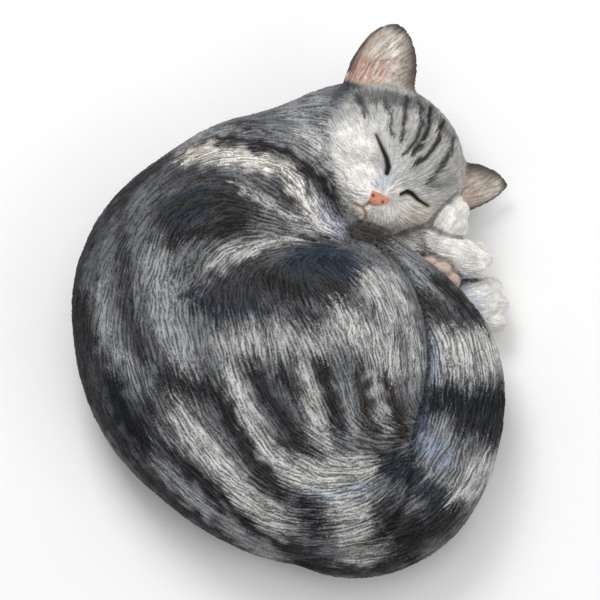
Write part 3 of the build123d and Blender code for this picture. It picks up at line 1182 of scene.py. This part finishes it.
def bare_clay(name):
    """Unglazed fired clay: sandy grain, faint smears and a few dark specks."""
    material, nodes, links, shader, place = new_material(name)
    smear = noise(nodes, links, place, 60.0, 5.0)
    grain = noise(nodes, links, place, 1100.0, 3.0)
    colour = blend(nodes, links, "MIX", smear.outputs["Fac"], (0.44, 0.33, 0.22, 1), (0.62, 0.51, 0.38, 1))
    speck = spread(nodes, links, grain.outputs["Fac"], 0.32, 0.42, 0.45, 1.0)
    links.new(blend(nodes, links, "MULTIPLY", 1.0, colour, speck), shader.inputs["Base Color"])
    links.new(spread(nodes, links, grain.outputs["Fac"], 0.3, 0.7, 0.78, 0.95), shader.inputs["Roughness"])
    rough_surface(nodes, links, shader, grain, 0.6, 0.0003)
    return material


def pressed_felt(name):
    """Charcoal wool felt: short matted fibres with a soft sheen."""
    material, nodes, links, shader, place = new_material(name)
    clump = noise(nodes, links, place, 350.0, 4.0)
    fibre = noise(nodes, links, place, 2600.0, 3.0)
    fibre.inputs["Distortion"].default_value = 2.5
    dark, light = (0.006, 0.006, 0.007, 1), (0.03, 0.03, 0.033, 1)
    colour = blend(nodes, links, "MIX", fibre.outputs["Fac"], dark, light)
    patch = spread(nodes, links, clump.outputs["Fac"], 0.3, 0.7, 0.7, 1.3)
    links.new(blend(nodes, links, "MULTIPLY", 1.0, colour, patch), shader.inputs["Base Color"])
    links.new(spread(nodes, links, clump.outputs["Fac"], 0.3, 0.7, 0.88, 1.0), shader.inputs["Roughness"])
    shader.inputs["Sheen Weight"].default_value = 0.4
    rough_surface(nodes, links, shader, fibre, 0.7, 0.0003)
    return material


# ------------------------------------------------------------------ underside: closing disc and felt
def turned(name, profile, segments, stretch, centre, rough_height, seed):
    """A round or oval piece from a closed profile of radius share and height, roughened by noise."""
    rng = np.random.default_rng(seed)
    angles = np.linspace(0, 2 * math.pi, segments, endpoint=False)
    rows = []
    for share, offset, z in profile:
        ring = [(math.cos(t) * (stretch[0] * share + offset), math.sin(t) * (stretch[1] * share + offset), z)
                for t in angles]
        rows.append(ring)
    p = np.array(rows)
    wobble = rng.standard_normal(p.shape[:2])
    wobble = (wobble + np.roll(wobble, 1, 1) + np.roll(wobble, -1, 1)) / 3
    p[:, :, 2] += np.clip(wobble, -1.5, 1.5) * rough_height
    count = len(profile)
    faces = [(i * segments + j, i * segments + (j + 1) % segments,
              (i + 1) % count * segments + (j + 1) % segments, (i + 1) % count * segments + j)
             for i in range(count) for j in range(segments)]
    mesh = bpy.data.meshes.new(name)
    mesh.from_pydata((p.reshape(-1, 3) * MM).tolist(), [], faces)
    mesh.shade_smooth()
    piece = bpy.data.objects.new(name, mesh)
    piece.location = [value * MM for value in centre]
    bpy.context.scene.collection.objects.link(piece)
    return piece


# ------------------------------------------------------------------ sculpting the whole figurine
PIECE_SOFTNESS = 1.2    # mm over which one piece's coat hands over to the next
HELD = 0.02             # share under which a piece's coat doesn't count at a point

# each piece's strokes: length in mm, and depth as a share of the body's
STROKES = {
    "body_shell": (10.5, 1.0), "head_shell": (6.0, 0.55), "right_ear": (5.0, 0.4), "left_ear": (5.0, 0.4),
    "tail": (10.5, 1.0), "right_forelimb": (6.0, 0.6), "left_forepaw": (5.0, 0.5),
    "right_hind_foot": (5.0, 0.4), "left_hind_foot": (5.0, 0.5),
}
LENGTHS, DEPTHS = np.array([STROKES[name] for name in GROUPS], np.float32).T
BODY, FACE_COLUMN, EARS_FROM, TAIL_COLUMN = 0, 1, 2, 4


def smooth_figure():
    """The uncarved figurine as even quads, with its points seated on the field."""
    points, quads = surface_quads()
    points, _ = seat(relax(points, quads, 0.5))
    points, quads = split_quads(relax(points, quads, 0.4), quads)
    points, normals = seat(points)
    if (face_normals(points, quads) * normals[quads[:, 0]]).sum() < 0:
        quads = quads[:, ::-1].copy()
    return points, quads, normals


def coat_patterns(points, normals, share):
    """The coat's direction at each point, and the patterns that follow it."""
    fine_noise, broad_noise = noise_volume(11, 4.1, 0.35), noise_volume(12, 4.0, 0.4)
    flow = comb(points, normals, share)
    flow = swerve(flow, normals, 0.13 * soft_noise(points, broad_noise, 3.2))
    along = flow * (share @ LENGTHS)[:, None]
    long_fur = share[:, BODY] + share[:, TAIL_COLUMN]
    coarse = strokes(points, along, fine_noise, 0.40, 1.0, 16)
    small = strokes(points, along, fine_noise, 0.29, 1.0, 14)
    blotches = [soft_noise(points[:, ::turn], broad_noise, 2.6) for turn in (1, -1)]
    return {
        "flow": flow,
        "fine": coarse * long_fur + small * (1 - long_fur),
        "feather": strokes(points, along, broad_noise, 0.42, 1.1, 12) * (0.45 + 0.55 * long_fur),
        "clump": strokes(points, flow, broad_noise, 1.05, 17.0, 12),
        "tuft": strokes(points, flow, broad_noise, 0.7, 8.0, 10),
        "blotch": np.stack(blotches, 1) * (0.4 + 0.6 * long_fur)[:, None],
    }


def carving(points, share, coat):
    """Height that the tool adds or takes at each point, in mm, how deep its groove is, which sets the
    painted shade in the grooves and the painted highlight on the ridges, and the seams, which also darken
    the paint as painted shade.
    """
    foot = smooth((points[:, 2] - FOOT - 1.0) / 4.0)
    eye, mouth, nose, nostril = face_marks(to_head(points))
    bare = smooth((np.minimum(np.minimum(eye, nose), mouth) + 0.2) / 2.5)
    face, ears = share[:, FACE_COLUMN], share[:, EARS_FROM] + share[:, EARS_FROM + 1]
    amount = (share @ DEPTHS) * foot * (1 - face * (1 - bare))
    groove = smooth((-coat["fine"] + 0.35) / 1.5)
    ridge = smooth((coat["fine"] + 0.1) / 1.7)
    alone = np.maximum(share.max(1), share[:, BODY] + face)
    seam = smooth((0.93 - alone) / 0.35) * foot * (1 - 0.92 * neck(points))
    seam *= 1 - 0.8 * smooth(ears * 3)
    clump = np.clip(coat["clump"], -1.5, 1.5)
    height = amount * (-0.62 * groove + 0.3 * ridge + 0.25 * clump) - 0.9 * seam
    height += face * face_relief(eye, mouth, nose, nostril)
    height += ears * 0.3 * np.clip(coat["tuft"], -1.2, 1.2)
    return height, amount * (groove - ridge * 0.9), seam


def make_figure(slots):
    """The carved and painted figurine, cut into its pieces."""
    points, quads, normals = smooth_figure()
    columns = groups(points)
    share = shares(columns, PIECE_SOFTNESS)
    coat = coat_patterns(points, normals, share)
    height, depth, seam = carving(points, share, coat)
    # the paint is darkened along the seams between the pieces: a dark wash in these creases that also paints
    # their shade
    colour = paint(points, normals, share, coat) * (1 - 0.55 * seam)[:, None]
    points = points + normals * height[:, None].astype(np.float32)
    normals = point_normals(points, quads)
    label = label_quads(quads, columns)
    materials = {
        "tabby_coat": painted_ceramic("painted_coat", 0.72, 0.42, 0.62),
        "tabby_face": painted_ceramic("painted_face", 0.5, 0.2, 0.6),
        "ear_paint": painted_ceramic("painted_ear", 0.55, 0.2, 0.58),
        "white_paws": painted_ceramic("painted_paws", 0.35, 0.15, 0.58),
    }
    for index, name in enumerate(GROUPS):
        piece = piece_mesh(name + "_carved", points, normals, quads[label == index], colour, depth)
        piece.data.materials.append(materials[slots[name]])
        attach(piece, "root")
        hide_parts(name)


def make_disc():
    """The closing disc, with rounded edges and its firing vent."""
    bottom, top = DISC_LOW[2], DISC_HIGH[2]
    steps = 26
    profile = [(0.0, VENT_RADIUS, top - 0.5), (0.0, VENT_RADIUS, bottom + 0.9)]
    profile += [(0.0, VENT_RADIUS + 0.3, bottom + 0.3)]
    for k in range(steps):
        share = k / steps
        profile.append((share, (VENT_RADIUS + 1.0) * (1 - share) - 0.8 * share, bottom))
    profile += [(1.0, -0.8, bottom + 0.1), (1.0, -0.2, bottom + 0.5), (1.0, 0.0, bottom + 1.2)]
    profile += [(1.0, 0.0, top - 0.3), (0.9, 0.0, top), (0.0, VENT_RADIUS + 0.5, top)]
    disc = turned("base_disc_cast", profile, 160, DISC_RADII, (DISC_CENTRE[0], DISC_CENTRE[1], 0.0), 0.07, 5)
    disc.rotation_euler = (0, 0, math.radians(DISC_TURN))
    disc.data.materials.append(bare_clay("bare_clay"))
    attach(disc, "root")
    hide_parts("base_disc")


def make_felt_pad(number, material):
    """One pad, soft at its edge, as wide and thick as its place in the frame."""
    node = f"felt_pad_{number}"
    low, high = (np.array(corner) * 1000 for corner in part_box(node))
    half, thick = (high[0] - low[0]) / 2, high[2] - low[2]
    rings = [k / 9 for k in range(1, 10)]
    profile = [(0.0, 0.05, 0.06)] + [(r, -0.6, 0.06) for r in rings]
    profile += [(1.0, -0.2, 0.25), (1.0, 0.0, 0.7), (1.0, 0.05, thick * 0.6), (1.0, -0.1, thick - 0.1)]
    profile += [(r, -0.3, thick - 0.02) for r in rings[::-1]] + [(0.0, 0.05, thick - 0.02)]
    centre = ((low[0] + high[0]) / 2, (low[1] + high[1]) / 2, 0.0)
    pad = turned(node + "_felt", profile, 72, (half, half), centre, 0.05, 20 + number)
    pad.data.materials.append(material)
    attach(pad, "root")
    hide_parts(node)


make_camera()
make_studio()
make_figure({row["node"]: row["material_slot"] for row in frame["record"]["subparts"]})
make_disc()
felt_material = pressed_felt("pressed_felt")
for number in range(1, 5):
    make_felt_pad(number, felt_material)
